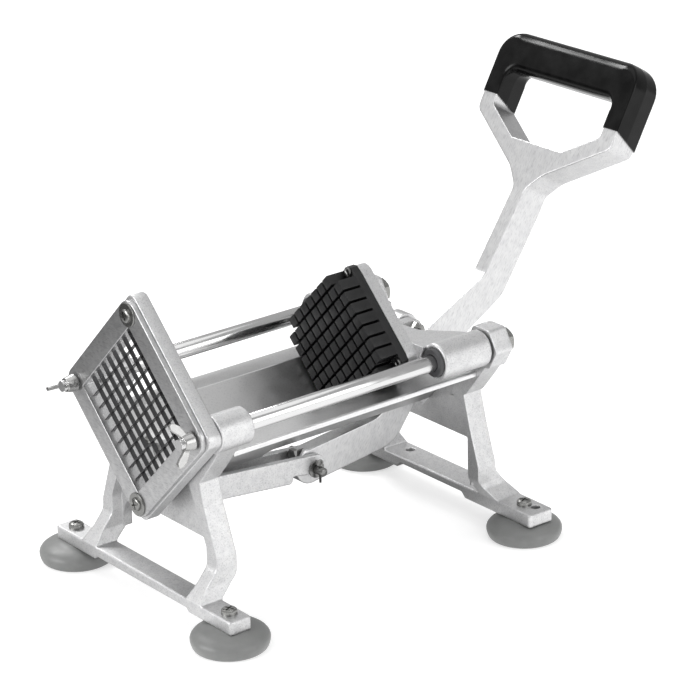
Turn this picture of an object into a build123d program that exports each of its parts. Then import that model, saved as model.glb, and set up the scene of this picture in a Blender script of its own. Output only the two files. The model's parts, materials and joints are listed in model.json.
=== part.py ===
from build123d import *
from math import cos, radians, sin, sqrt
import os

# French fry cutter: a lever drives a finger block through a grid of blades.
# Millimetres. X runs from the blades to the handle, Y across, Z up.
# The origin is on the bench, in the middle of the four suction cups.

# ---------------------------------------------------------------- the cut
fry_size = 9.525  # one cell of the blade grid
cells = 9  # cells along each side of the grid
blade_thickness = 0.6
blade_depth = 3.2
blade_end = 3.0  # of a blade inside the frame, at each end
finger_gap = 1.8  # between two fingers of the pusher block
finger_length = 15.0
pusher_base = 6.5
backing_thickness = 9.0

# ---------------------------------------------------------------- clearances
bolt_clearance = 0.2  # on a hole's radius, round a screw or stud
running_clearance = 0.05  # on a hole's radius, round a pin, rod or thread
seat_gap = 0.1  # between pieces that are dropped into each other
swing_gap = 0.5  # each side of a piece that swings between two walls
throat_clearance = 1.0  # round the blade frame's opening, each side

# ---------------------------------------------------------------- feet
bar_spacing = 264.8  # between the centre lines of the foot bars
cup_spacing = 183.3  # from cup to cup along a bar
cup_height = 14.0  # of a pressed cup, under the foot bar
bar_thickness = 9.5
front_bar_width = 18.0
front_bar_length = 209.5
rear_bar_width = 22.4
rear_bar_length = 220.5
bar_corner = 2.5
front_relief = (108.0, 2.5)  # length and depth of the hollow under the bar
rear_relief = (70.0, 4.0)
bench_hole_radius = 3.5
bench_hole_spacing = 79.6
spare_hole_spacing = 201.0
spare_hole_shift = 3.0  # of the spare holes behind the bar's centre line
cup_radius = 27.5
cup_neck_radius = 13.0
# Table of a cup's shoulder and lip: (inset from its rim, drop under its top).
cup_skirt = ((5.8, 1.5), (1.3, 3.8), (0.0, 7.0), (0.5, 11.0), (1.4, 14.0), (3.4, 14.0), (6.5, 12.8))
cup_hollow = (10.0, 7.0)  # radius and drop of the hollow's bend
cup_core = 5.5  # thickness in the middle
cup_screw_radius = 3.0
cup_screw_reach = 4.3  # of a screw into its cup
cup_screw_head = (5.5, 4.0)  # radius and height

# ---------------------------------------------------------------- guide rods
rod_height = 130.0  # of the rod axes over the underside of the foot bars
rod_spacing = 138.6
rod_radius = 6.0
stud_radius = 4.0
stud_reach = 12.0  # of a stud in front of the cover
rod_shoulder = 4.2  # wall left in front of a rod's shoulder
front_face_setback = 7.2  # of the clamped front face behind the front bar's centre line
front_boss_radius = 13.0
front_boss_length = 26.7
rear_face_advance = 20.4  # of the rear casting's face before the rear bar's centre line
rear_head_depth = 16.5
rear_head_size = 29.0  # across the flats
end_nut_size = 16.0
end_nut_height = 6.5

# ---------------------------------------------------------------- castings
leg_depth = 16.5
front_leg_setback = 1.2  # behind the clamped front face
front_web_setback = 8.5  # behind the front of the legs
front_web_thickness = 7.5
front_web_height = 33.5  # of the web's lower edge over the bar
rear_web_inset = 2.0
rear_web_thickness = 8.5
rear_web_height = 45.0
rear_web_corner = 2.0
web_corner = 18.0
web_waist_y = 49.0
web_top_y = 45.0
web_clear_y = 3.0  # the web's top starts this far from the keel
throat_depth = 6.0
throat_rim = 17.0  # of the throat's rim, along a diagonal
waist_drop = 58.0  # of the bend in the legs under the rod axes
shoulder_drop = 40.0  # of the top of the legs under the rod axes
leg_shoulder_y = 36.0  # of the legs' inner face at the shoulder
leg_blend = 10.0  # radius where a leg's side view runs into the foot
heel_blend = 4.0
# Tables of a leg seen from the front: (y, height over the foot bar, radius).
front_leg_outer = ((71.5, 0.0, 0), (68.3, 10.0, 8), (68.3, 28.0, 12))
front_leg_waist = (55.4, 0.0, 14)  # y, rise over the waist, radius
front_leg_top_y = 51.4
front_leg_inner = ((56.2, 34.0, 8), (56.2, 10.0, 8), (52.0, 0.0, 0))
front_waist_y = 44.0
front_leg_turns = (20.5, 13.0)  # heights at which the front and the back turn outward
rear_leg_outer = ((75.0, 0.0, 0), (65.4, 10.0, 8), (65.2, 25.5, 12))
rear_leg_waist = (56.4, -10.0, 14)
rear_leg_top_y = 49.0
rear_leg_inner = ((53.4, 45.0, 0), (53.4, 10.0, 8), (54.0, 0.0, 0))
rear_waist_y = 43.0
rear_leg_turns = (14.5, 20.0)
# Table of the neck from a leg to its boss: (y, drop under the rod axes, radius).
neck_table = (
    (34.0, 47.0, 0),
    (51.6, 41.5, 0),
    (54.0, 39.0, 3),
    (67.0, 23.0, 6),
)
neck_flare = (10.5, 6.0)  # beyond the rod's axis and under it
neck_inside = (45.0, 4.0)  # y, drop

# ---------------------------------------------------------------- blade frame and cover
opening_side = 87.0
frame_rim = 3.3  # of the frame's rounded tips outside the cover's
frame_thickness = 10.8
frame_corner = 7.0
cover_rim = 1.08  # of the cover's rounded tips outside the washers
cover_thickness = 3.8
cover_corner = 11.0
cover_screw_inset = 10.0  # of the cover screws inside the cover's rounded tips
cover_screw_radius = 2.5
cover_screw_head = (4.8, 3.2)
cross_width = 1.2  # of the driver's cross in a screw's head
cross_depth = 1.2
washer_radius = 8.5
washer_thickness = 1.4
wing_hub = (6.4, 7.5)  # radius and height
wing_reach = 15.5
wing_thickness = 2.6

# ---------------------------------------------------------------- trough
keel_drop = 65.7  # of the keel's underside under the rod axes
trough_bend_y = 44.0
trough_bend_drop = 21.7
trough_lip_y = 63.9
trough_lip_height = 3.7  # of the flange's rim, turned down
trough_wall = 1.6
trough_seat = 10.0  # of the trough inside the rear casting
trough_seat_y = 43.0  # the flanges are cut away past this, in the castings
casting_gap_y = 50.0  # of the gap in the castings, over the trough
lip_setback = 4.5  # of the outward lips behind the front legs
slot_half_width = 7.5
slot_reach = 130.0  # of the lever's slot, before the lever pin
trough_screw_radius = 2.0
trough_screw_y = 26.0
trough_screw_head = (4.0, 1.5)

# ---------------------------------------------------------------- carriage
rest_gap = 1.5  # between the resting carriage and the rear casting
pad_thickness = 4.5  # of the carriage's pad behind the backing plate
bush_radius = 10.4
bush_lip = 2.5
carriage_boss_radius = 13.3
carriage_boss_length = 41.5
bridge_thickness = 14.0  # of the bridge from boss to boss
bridge_height = 20.0
clevis_half_width = 15.0
clevis_radius = 8.8
pusher_corner = 9.0
corner_screw_radius = 2.0
corner_screw_head = (3.6, 2.0)
plate_screw_spacing = 44.0
plate_screw_radius = 2.5

# ---------------------------------------------------------------- lever and link
pin_setback = 26.0  # of the lever pin behind the front of the carriage bosses
pin_rise = 1.0  # of the lever pin over the rod axes
lever_thickness = 12.4
lever_depth = 23.7
# Tables of the arm's side view: (x from the lever pin, z from it, radius).
lever_under = ((-12.3, -86.0, 25), (23.9, -38.1, 40), (92.6, 2.0, 25))
lever_crook = (75.5, 21.3, 20)
lever_front = ((-11.0, -44.4, 25), (-24.6, -62.5, 20))
lever_lap = 14.0  # of the arm and the yoke, along the handle
lever_heel = (-12.0, 30)  # of the bend behind the yoke: along the handle, radius
lever_throat = (-2.0, 60)
# Table of the yoke seen square to the handle: (y, distance along the handle, radius).
yoke_neck = ((6.2, 0.6, 8), (17.5, 13.6, 25))
yoke_crotch = (26.7, 34.1, 6)
yoke_shoulders = ((47.1, 8), (53.1, 5))  # outside and inside: along the handle, radius
lever_pin_radius = 4.0
lever_pin_head = (6.8, 5.0)
lug_radius = 11.0
knee_x = -89.5  # from the lever pin to the link's rear pin
knee_drop = 82.5
knee_radius = 13.0
link_pin_radius = 3.2
link_pin_reach = 10.0  # of the rear pin outside the link
handle_x = 115.1  # from the lever pin to the start of the yoke
handle_rise = 79.0
handle_angle = 60.35
yoke_half_width = 72.0
yoke_arm_width = 14.0
crossbar_radius = 6.0
arm_taper = (5.0, 0.8)  # length and depth of the taper at an arm's tip
crossbar_inset = 6.0  # of the crossbar's ends inside the arms
grip_start = 61.1  # along the handle, from the start of the yoke to the grip's front edge
grip_slant = 9.0  # of the grip's back edge nearer to the yoke
grip_edge = 2.5
grip_axis = 96.3
grip_radius = 15.0
grip_wall = 1.0
grip_corner = 20.0
link_pivot_setback = 18.5  # behind the front web
link_pivot_drop = 74.5  # under the rod axes
link_wall = 5.0
link_floor = 4.0
link_eye_radius = 9.0
# Tables of the link's side view: (x, z, radius) from its front pivot, then from its rear pin.
link_belly = (22.0, -6.7, 30)
link_back = (18.0, 11.7, 30)
link_rear = ((-20.5, -6.0, 3), (-20.5, -0.5, 2), (8.0, -5.2, 6.5), (8.0, 9.6, 7))
link_floor_start = (12.0, -6.6)  # of the channel's floor, from the front pivot
link_floor_end = (-24.0, -5.0)  # from the rear pin
lug_eye_radius = 8.0
stop_screw_rise = 9.5  # over the link's rear pin
stop_screw_head = (5.3, 3.5)


def tip_to_side(tip, corner):
    """The side of a square on its corner whose rounded tips reach that far."""
    return (tip + corner * (sqrt(2) - 1)) * sqrt(2)


# ---------------------------------------------------------------- worked-out places
bar_base = cup_height
bar_top = bar_base + bar_thickness
rod_level = bar_base + rod_height
rod_y = rod_spacing / 2
front_bar_x = -bar_spacing / 2
rear_bar_x = bar_spacing / 2
cup_y = cup_spacing / 2
front_face = front_bar_x + front_face_setback
front_leg_face = front_face + front_leg_setback
front_web_face = front_leg_face + front_web_setback
rear_face = rear_bar_x - rear_face_advance
leg_back = front_leg_face + leg_depth
boss_back = front_face + front_boss_length
frame_front = front_face - frame_thickness
cover_front = frame_front - cover_thickness
trough_front = front_face + throat_depth
rear_back = rear_face + rear_head_depth
rear_leg_back = rear_face + leg_depth
trough_back = rear_face + trough_seat
lip_start = leg_back + lip_setback
carriage_boss_start = rear_face - rest_gap - carriage_boss_length
plate_back = carriage_boss_start - pad_thickness
base_back = plate_back - backing_thickness
finger_root = base_back - pusher_base
finger_tip = finger_root - finger_length
pin_x = carriage_boss_start + pin_setback
link_pivot_x = front_web_face + link_pivot_setback
finger_side = fry_size - finger_gap
pusher_side = (cells - 1) * fry_size + finger_side
pin_level = rod_level + pin_rise
slot_start = pin_x - slot_reach
cover_tip = rod_y + washer_radius + cover_rim
cover_side = tip_to_side(cover_tip, cover_corner)
frame_side = tip_to_side(cover_tip + frame_rim, frame_corner)
cover_screw_reach = cover_tip - cover_screw_inset
knee = (pin_x + knee_x, pin_level - knee_drop)
link_pivot = (link_pivot_x, rod_level - link_pivot_drop)
lever_half = lever_thickness / 2
link_inner = lever_half + swing_gap
link_outer = link_inner + link_wall
keel_level = rod_level - keel_drop
bend_level = rod_level - trough_bend_drop
flange_top = bend_level + trough_wall
trough_slope = (bend_level - keel_level) / trough_bend_y
waist = rod_level - waist_drop
shoulder = rod_level - shoulder_drop
yoke_inner = yoke_half_width - yoke_arm_width
handle_along = Vector(cos(radians(handle_angle)), 0, sin(radians(handle_angle)))
handle_back = Vector(sin(radians(handle_angle)), 0, -cos(radians(handle_angle)))
handle_start = Vector(pin_x + handle_x, 0, pin_level + handle_rise)
handle_plane = Plane(origin=handle_start, x_dir=(0, 1, 0), z_dir=handle_back)


# ---------------------------------------------------------------- small tools
def outline(*corners):
    """A closed face from corners (u, v, radius)."""
    points = [(u, v) for u, v, r in corners]
    radii = [r for u, v, r in corners]
    return make_face(FilletPolyline(*points, radius=radii, close=True))


def both_sides(*corners):
    """A closed face from its +Y corners, repeated on the other side."""
    others = [(-u, v, r) for u, v, r in reversed(corners)]
    return outline(*corners, *others)


def along_x(face, start, end):
    return extrude(Plane.YZ.offset(start) * face, amount=end - start)


def along_y(face, start, end):
    return extrude(Plane.XZ.offset(-end) * face, amount=end - start)


def along_z(face, start, end):
    return extrude(Plane.XY.offset(start) * face, amount=end - start)


def bar_x(radius, start, end, y, z):
    return along_x(Pos(y, z) * Circle(radius), start, end)


def bar_y(radius, start, end, x, z):
    return along_y(Pos(x, z) * Circle(radius), start, end)


def bar_z(radius, start, end, x, y):
    return along_z(Pos(x, y) * Circle(radius), start, end)


def block(x_range, y_range, z_range):
    lows = [r[0] for r in (x_range, y_range, z_range)]
    sizes = [r[1] - r[0] for r in (x_range, y_range, z_range)]
    return Pos(*lows) * Box(*sizes, align=(Align.MIN, Align.MIN, Align.MIN))


def hexagon(across_flats):
    return RegularPolygon(across_flats / 2, 6, major_radius=False)


def both(shape):
    return shape + mirror(shape, about=Plane.XZ)


def group(*shapes):
    return Compound(children=[s for shape in shapes for s in shape.solids()])


def diamond(side, corner=0.0):
    """A square that stands on its corner, round the grid's centre."""
    square = Rectangle(side, side)
    if corner > 0:
        square = fillet(square.vertices(), corner)
    return Pos(0, rod_level) * Rot(0, 0, 45) * square


# ---------------------------------------------------------------- castings
def foot_bar(x, width, length, relief):
    plan = fillet(Rectangle(width, length).vertices(), bar_corner)
    bar = along_z(Pos(x, 0) * plan, bar_base, bar_top)
    bar = chamfer(bar.faces().sort_by(Axis.Z)[-1].edges(), 0.8)
    half, depth = relief[0] / 2, relief[1]
    hollow = both_sides((half + depth, bar_base, 0), (half, bar_base + depth, 1))
    bar -= along_x(hollow, x - width, x + width)
    for y in (cup_y, -cup_y):
        bar -= bar_z(cup_screw_radius + bolt_clearance, bar_base, bar_top, x, y)
    return bar


def trough_void(start, end):
    """The space that a casting leaves for the trough and above it."""
    low = keel_level - seat_gap
    side = casting_gap_y + seat_gap
    face = outline(
        (0, low, 0),
        (side, low + side * trough_slope, 0),
        (side, low + rod_spacing, 0),
        (-side, low + rod_spacing, 0),
        (-side, low + side * trough_slope, 0),
    )
    return along_x(face, start, end)


def throat_void():
    """The pusher's way through the front casting, clipped beside the rods."""
    side = opening_side + 2 * throat_clearance
    clip = side / sqrt(2) - 3.9
    strip = Pos(0, rod_level) * Rectangle(2 * clip, 2 * side)
    return along_x(diamond(side) & strip, front_face - 1, boss_back + 1)


def leg_front(root, outer, waist_point, top_y, inner, waist_y):
    """A leg seen from the front, from inside its foot bar up to the shoulder."""
    foot = [(y, root, 0) for y in (inner[-1][0], outer[0][0])]
    outside = [(y, bar_top + height, radius) for y, height, radius in outer]
    outside.append((waist_point[0], waist + waist_point[1], waist_point[2]))
    inside = [(y, bar_top + height, radius) for y, height, radius in inner[:-1]]
    top = [(top_y, shoulder, 0), (leg_shoulder_y, shoulder, 0), (waist_y, waist, 0)]
    return outline(*foot, *outside, *top, *inside)


def front_leg():
    toe = front_bar_x - front_bar_width / 2
    heel = front_bar_x + front_bar_width / 2
    root = bar_base + front_relief[1] + 1
    front_turn, back_turn = front_leg_turns
    side = outline(
        (front_leg_face, shoulder, 0),
        (front_leg_face, bar_top + front_turn, leg_blend),
        (toe, bar_top, 0),
        (toe, root, 0),
        (heel, root, 0),
        (heel, bar_top, heel_blend),
        (leg_back, bar_top + back_turn, leg_blend),
        (leg_back, shoulder, 0),
    )
    front = leg_front(
        root, front_leg_outer, front_leg_waist, front_leg_top_y, front_leg_inner, front_waist_y
    )
    return along_x(front, toe, leg_back) & along_y(side, 0, rod_spacing)


def neck(start, end):
    """Joins the top of a leg to the boss or head on its rod."""
    corners = [(y, rod_level - drop, radius) for y, drop, radius in neck_table]
    corners.append((rod_y + neck_flare[0], rod_level - neck_flare[1], 0))
    corners.append((rod_y, rod_level, 0))
    corners.append((neck_inside[0], rod_level - neck_inside[1], 0))
    return along_x(outline(*corners), start, end)


def web(start, end, lower, leg_inner, corner):
    """The wall between two legs, under the trough."""
    wall = both_sides(
        (leg_inner + 2, bar_top + 8, 0),
        (leg_inner + 1, lower + 1, 0),
        (web_waist_y, waist, 0),
        (web_top_y, trough_point(web_top_y), 0),
        (web_clear_y, trough_point(web_clear_y), 0),
    )
    window = both_sides((leg_inner, bar_top - 1, 0), (leg_inner, lower, corner))
    return along_x(wall, start, end) - along_x(window, start - 1, end + 1)


def front_leg_frame():
    tip = opening_side / sqrt(2) + throat_rim
    rim = both_sides((3, rod_level - tip + 3, 0), (tip - 6, rod_level - 6, 0), (rod_y, rod_level, 0))
    lug_range = (-lever_half, lever_half)
    lug_levels = (link_pivot[1] - lug_eye_radius, link_pivot[1] + lug_eye_radius)
    lug = bar_y(lug_eye_radius, *lug_range, *link_pivot)
    lug += block((front_web_face + 1, link_pivot_x), lug_range, lug_levels)
    boss = bar_x(front_boss_radius, front_face, boss_back, rod_y, rod_level)
    body = foot_bar(front_bar_x, front_bar_width, front_bar_length, front_relief)
    body += both(front_leg() + neck(front_leg_face, leg_back) + boss)
    web_lower = bar_top + front_web_height
    window_half = front_leg_inner[0][0] - 0.4
    body += web(front_web_face, front_web_face + front_web_thickness, web_lower, window_half, web_corner)
    body += along_x(rim, front_face, trough_front) + lug
    body -= trough_void(trough_front, boss_back + 1)
    body -= throat_void()
    bore_start = front_face + rod_shoulder
    for y in (rod_y, -rod_y):
        body -= bar_x(rod_radius + running_clearance, bore_start, boss_back, y, rod_level)
        body -= bar_x(stud_radius + bolt_clearance, front_face, bore_start, y, rod_level)
    body -= bar_y(link_pin_radius, *lug_range, *link_pivot)
    return body - trough_screw_holes(front_web_face + front_web_thickness / 2)


def rear_leg():
    toe = rear_bar_x + rear_bar_width / 2
    heel = rear_bar_x - rear_bar_width / 2
    root = bar_base + rear_relief[1] + 1
    front_turn, back_turn = rear_leg_turns
    side = outline(
        (rear_face, shoulder, 0),
        (rear_face, bar_top + front_turn, leg_blend - 2),
        (heel, bar_top, 0),
        (heel, root, 0),
        (toe, root, 0),
        (toe, bar_top, heel_blend),
        (rear_leg_back, bar_top + back_turn, leg_blend),
        (rear_leg_back, shoulder, 0),
    )
    front = leg_front(
        root, rear_leg_outer, rear_leg_waist, rear_leg_top_y, rear_leg_inner, rear_waist_y
    )
    return along_x(front, rear_face, toe) & along_y(side, 0, rod_spacing)


def rear_head():
    hexagonal = fillet(hexagon(rear_head_size).vertices(), 3)
    head = along_x(Pos(rod_y, rod_level) * hexagonal, rear_face, rear_back)
    return chamfer(head.faces().sort_by(Axis.X)[-1].edges(), 1.5)


def rear_leg_frame():
    body = foot_bar(rear_bar_x, rear_bar_width, rear_bar_length, rear_relief)
    body += both(rear_leg() + neck(rear_face, rear_leg_back) + rear_head())
    start = rear_face + rear_web_inset
    window_half = rear_leg_inner[0][0]
    body += web(start, start + rear_web_thickness, bar_top + rear_web_height, window_half, rear_web_corner)
    body -= trough_void(rear_face - 1, rear_back + 10)
    for y in (rod_y, -rod_y):
        body -= bar_x(rod_radius + running_clearance, rear_face, rear_back, y, rod_level)
    hole_x = rear_bar_x + spare_hole_shift
    for spacing in (bench_hole_spacing, spare_hole_spacing):
        for y in (spacing / 2, -spacing / 2):
            body -= bar_z(bench_hole_radius, bar_base, bar_top, hole_x, y)
    return body - trough_screw_holes(start + rear_web_thickness / 2)


# ---------------------------------------------------------------- rods and their ends
def guide_rod(side):
    y = side * rod_y
    shoulder_x = front_face + rod_shoulder
    rod = bar_x(rod_radius, shoulder_x, rear_back, y, rod_level)
    front_stud = bar_x(stud_radius, cover_front - stud_reach, shoulder_x, y, rod_level)
    rear_stud = bar_x(stud_radius, rear_back, rear_back + washer_thickness + end_nut_height, y, rod_level)
    return rod + chamfer(front_stud.faces().sort_by(Axis.X)[0].edges(), 0.8) + rear_stud


def washer(start, y, radius, hole):
    ring = Circle(radius) - Circle(hole)
    return along_x(Pos(y, rod_level) * ring, start, start + washer_thickness)


def rod_end_nuts():
    solids = []
    for y in (rod_y, -rod_y):
        solids.append(washer(rear_back, y, washer_radius + 1, stud_radius + bolt_clearance))
        ring = hexagon(end_nut_size) - Circle(stud_radius + running_clearance)
        start = rear_back + washer_thickness
        nut = along_x(Pos(y, rod_level) * ring, start, start + end_nut_height)
        solids.append(nut)
    return group(*solids)


def cover_washers():
    start = cover_front - washer_thickness
    hole = stud_radius + bolt_clearance
    return group(*[washer(start, y, washer_radius, hole) for y in (rod_y, -rod_y)])


def wing_nut(side, turn):
    """A wing nut whose wings lie at an angle to Y."""
    y = side * rod_y
    radius, height = wing_hub
    back = cover_front - washer_thickness
    front = back - height
    cone = Cone(radius + 1, radius - 1, height, align=(Align.CENTER, Align.CENTER, Align.MIN))
    hub = Pos(back, 0, 0) * Rot(0, -90, 0) * cone
    wing = outline(
        (back - 2.5, 0, 0),
        (back - 2.5, radius - 0.5, 0),
        (front + 0.5, wing_reach - 3, 2),
        (front - 7, wing_reach, 3),
        (front - 7.5, wing_reach - 7, 3),
        (front + 0.5, radius - 1.5, 2),
        (front + 0.5, 0, 0),
    )
    plate = extrude(wing, amount=wing_thickness / 2, both=True)
    nut = hub + plate + mirror(plate, about=Plane.XZ)
    nut = Pos(0, y, rod_level) * Rot(turn, 0, 0) * nut
    return nut - bar_x(stud_radius + running_clearance, front - 10, back + 1, y, rod_level)


# ---------------------------------------------------------------- blades
def blade_frame():
    frame = along_x(diamond(frame_side, frame_corner), frame_front, front_face)
    frame = fillet(frame.faces().sort_by(Axis.X)[-1].edges(), 1.5)
    frame -= along_x(diamond(opening_side), frame_front, front_face)
    for y in (rod_y, -rod_y):
        frame -= bar_x(stud_radius + bolt_clearance, frame_front, front_face, y, rod_level)
    for z in (cover_screw_reach, -cover_screw_reach):
        hole_end = frame_front + frame_thickness - 2
        frame -= bar_x(cover_screw_radius, frame_front, hole_end, 0, rod_level + z)
    slot = blade_thickness + 2 * seat_gap
    slot_length = opening_side + 2 * (blade_end + seat_gap)
    for turn in (45, -45):
        for offset in blade_offsets():
            strip = Pos(0, rod_level) * Rot(0, 0, turn) * Pos(0, offset) * Rectangle(slot_length, slot)
            frame -= along_x(strip, frame_front, frame_front + blade_depth + seat_gap)
    return frame


def blade_offsets():
    return [(i - cells / 2) * fry_size for i in range(1, cells)]


def blade_set(turn, notched_half):
    """One direction of the grid; each blade is notched to half its depth."""
    length = opening_side + 2 * blade_end
    middle = frame_front + blade_depth / 2
    notch_width = blade_thickness + 2 * seat_gap
    low, high = (frame_front, middle) if notched_half == "front" else (middle, frame_front + blade_depth)
    blades = []
    for offset in blade_offsets():
        frame = Pos(0, rod_level) * Rot(0, 0, turn) * Pos(0, offset)
        blade = along_x(frame * Rectangle(length, blade_thickness), frame_front, frame_front + blade_depth)
        for crossing in blade_offsets():
            notch = frame * Pos(crossing, 0) * Rectangle(notch_width, 2 * blade_thickness)
            blade -= along_x(notch, low, high)
        blades.append(blade)
    return group(*blades)


def blade_cover():
    plate = along_x(diamond(cover_side, cover_corner), cover_front, frame_front)
    plate = fillet(plate.faces().sort_by(Axis.X)[0].edges(), 1.6)
    plate -= along_x(diamond(opening_side - 1.5), cover_front, frame_front)
    for y in (rod_y, -rod_y):
        plate -= bar_x(stud_radius + bolt_clearance, cover_front, frame_front, y, rod_level)
    for z in (cover_screw_reach, -cover_screw_reach):
        hole = cover_screw_radius + bolt_clearance
        plate -= bar_x(hole, cover_front, frame_front, 0, rod_level + z)
    return plate


def cover_screws():
    radius, height = cover_screw_head
    screws = []
    for z in (rod_level + cover_screw_reach, rod_level - cover_screw_reach):
        head = bar_x(radius, cover_front - height, cover_front, 0, z)
        head = fillet(head.faces().sort_by(Axis.X)[0].edges(), 1.5)
        cross = (cover_front - height, cover_front - height + cross_depth)
        head -= block(cross, (-radius, radius), (z - cross_width / 2, z + cross_width / 2))
        head -= block(cross, (-cross_width / 2, cross_width / 2), (z - radius, z + radius))
        shank_end = frame_front + frame_thickness - 3
        screws.append(head + bar_x(cover_screw_radius, cover_front, shank_end, 0, z))
    return group(*screws)


# ---------------------------------------------------------------- trough
def trough_point(y):
    """Where a screw goes through the trough's wall: the level of its underside."""
    return keel_level + y * trough_slope


def trough_screw(x, y, radius, above, below):
    """A bar square to the trough's wall, from below its underside to above it."""
    tilt = Vector(-trough_slope, 1).normalized()
    place = Vector(x, y, trough_point(abs(y)))
    side = 1 if y > 0 else -1
    plane = Plane(origin=place, z_dir=(0, side * tilt.X, tilt.Y))
    return extrude(plane.offset(-below) * Circle(radius), amount=above + below)


def trough_screw_holes(x):
    return both(trough_screw(x, trough_screw_y, trough_screw_radius, 3, 6))


def trough():
    upper = trough_wall * sqrt(1 + trough_slope**2)
    inner_bend_y = (flange_top - keel_level - upper) / trough_slope
    lip_foot = flange_top - trough_lip_height
    half = [
        (trough_bend_y, bend_level, 2),
        (trough_lip_y - trough_wall, bend_level, 1),
        (trough_lip_y - trough_wall, lip_foot, 0),
        (trough_lip_y, lip_foot, 0),
        (trough_lip_y, flange_top, 2),
        (inner_bend_y, flange_top, 2),
    ]
    others = [(-y, z, radius) for y, z, radius in reversed(half)]
    profile = outline((0, keel_level, 3), *half, (0, keel_level + upper, 2), *others)
    sheet = along_x(profile, trough_front + seat_gap, trough_back)
    front_trim = outline(
        (trough_front - 1, trough_seat_y, 0),
        (leg_back + seat_gap, trough_seat_y, 0),
        (lip_start, trough_lip_y + 1, 0),
        (trough_front - 1, trough_lip_y + 1, 0),
    )
    sheet -= both(along_z(front_trim, keel_level, rod_level))
    rear_x = (rear_face - seat_gap, trough_back + 1)
    sheet -= both(block(rear_x, (trough_seat_y, trough_lip_y + 1), (keel_level, rod_level)))
    slot_end = trough_back + 2 * slot_half_width
    slot = Rectangle(slot_end - slot_start, 2 * slot_half_width)
    slot_plan = Pos((slot_start + slot_end) / 2, 0) * fillet(slot.vertices(), slot_half_width - 0.5)
    sheet -= along_z(slot_plan, keel_level - 1, rod_level)
    for x in trough_screw_stations():
        sheet -= both(trough_screw(x, trough_screw_y, trough_screw_radius + bolt_clearance, 5, 2))
    return sheet


def trough_screw_stations():
    front = front_web_face + front_web_thickness / 2
    rear = rear_face + rear_web_inset + rear_web_thickness / 2
    return (front, rear)


def trough_screws():
    radius, height = trough_screw_head
    screws = []
    for x in trough_screw_stations():
        for y in (trough_screw_y, -trough_screw_y):
            shank = trough_screw(x, y, trough_screw_radius, trough_wall, 6)
            head = trough_screw(x, y, radius, trough_wall + height, -trough_wall)
            screws.append(shank + head)
    return group(*screws)


# ---------------------------------------------------------------- carriage
def carriage_boss(y):
    start = carriage_boss_start
    boss = bar_x(carriage_boss_radius, start, start + carriage_boss_length, y, rod_level)
    return chamfer(boss.faces().sort_by(Axis.X)[0].edges(), 1.2)


def pusher_carriage():
    start = carriage_boss_start
    end = start + carriage_boss_length
    ear = swing_gap + lever_half
    bridge_back = start + bridge_thickness
    arm = outline(
        (start, 0, 0),
        (start, rod_y, 0),
        (end - 2, rod_y, 0),
        (end - 4, rod_y - 12, 14),
        (bridge_back + 2, rod_y - 36, 12),
        (bridge_back, clevis_half_width - 2, 0),
        (bridge_back, 0, 0),
    )
    low, high = rod_level - bridge_height / 2, rod_level + bridge_height / 2
    arms = both(along_z(arm, low, high))
    bridge = block((plate_back, bridge_back), (-rod_y + 8, rod_y - 8), (low, high))
    pad = along_x(diamond(56, 6), plate_back, start)
    rib_top = rod_level + pusher_side / sqrt(2) - 24
    rib = outline(
        (plate_back, low - 14, 0),
        (start + 4, low - 14, 4),
        (start + 9, low, 0),
        (start + 9, high, 6),
        (start + 3, rib_top, 3),
        (plate_back, rib_top, 0),
    )
    cheek = along_y(Pos(pin_x, pin_level) * Circle(clevis_radius), ear, clevis_half_width)
    cheek_levels = (pin_level - clevis_radius, pin_level + clevis_radius)
    cheek += block((start, pin_x), (ear, clevis_half_width), cheek_levels)
    body = arms + bridge + pad + along_y(rib, -5, 5) + both(cheek)
    body += carriage_boss(rod_y) + carriage_boss(-rod_y)
    body -= block((bridge_back - 1, end + 5), (-ear, ear), (low - 20, high + 20))
    pin_bore = lever_pin_radius + running_clearance
    body -= bar_y(pin_bore, -clevis_half_width, clevis_half_width, pin_x, pin_level)
    for y in (rod_y, -rod_y):
        body -= bar_x(bush_radius + seat_gap / 2, plate_back, end, y, rod_level)
    for y in (plate_screw_spacing / 2, -plate_screw_spacing / 2):
        body -= bar_x(plate_screw_radius, plate_back, start + bridge_thickness - 3, y, rod_level)
    return body


def rod_bush(side):
    start = carriage_boss_start - bush_lip
    end = carriage_boss_start + carriage_boss_length
    ring = Circle(bush_radius) - Circle(rod_radius + running_clearance)
    return along_x(Pos(side * rod_y, rod_level) * ring, start, end)


def pusher_places():
    """Where the fingers stand, as offsets along the grid's two directions."""
    last = (cells - 1) / 2
    steps = [i - last for i in range(cells)]
    return [(a * fry_size, b * fry_size) for a in steps for b in steps if abs(a) + abs(b) < 2 * last]


def corner_places():
    reach = (cells - 1) / 2 * fry_size
    return [(a, b) for a in (reach, -reach) for b in (reach, -reach)]


def on_diamond(place):
    """A place on the grid's turned square."""
    return Pos(0, rod_level) * Rot(0, 0, 45) * Pos(*place)


def pusher_block():
    base = chamfer(Rectangle(pusher_side, pusher_side).vertices(), 3.0)
    body = along_x(on_diamond((0, 0)) * base, finger_root, base_back)
    fingers = Sketch() + [
        on_diamond(place) * Rectangle(finger_side, finger_side) for place in pusher_places()
    ]
    body += along_x(fingers, finger_tip, finger_root)
    for place in corner_places():
        hole = on_diamond(place) * Circle(corner_screw_radius + bolt_clearance)
        body -= along_x(hole, finger_root, base_back)
    return body


def backing_plate():
    plate = along_x(diamond(pusher_side + 1, pusher_corner), base_back, plate_back)
    for place in corner_places():
        plate -= along_x(on_diamond(place) * Circle(corner_screw_radius), base_back, plate_back)
    for y in (plate_screw_spacing / 2, -plate_screw_spacing / 2):
        hole = plate_screw_radius + bolt_clearance
        plate -= bar_x(hole, base_back, plate_back, y, rod_level)
        head = plate_screw_radius * 2 + bolt_clearance
        plate -= bar_x(head, base_back, base_back + 3, y, rod_level)
    return plate


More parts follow.
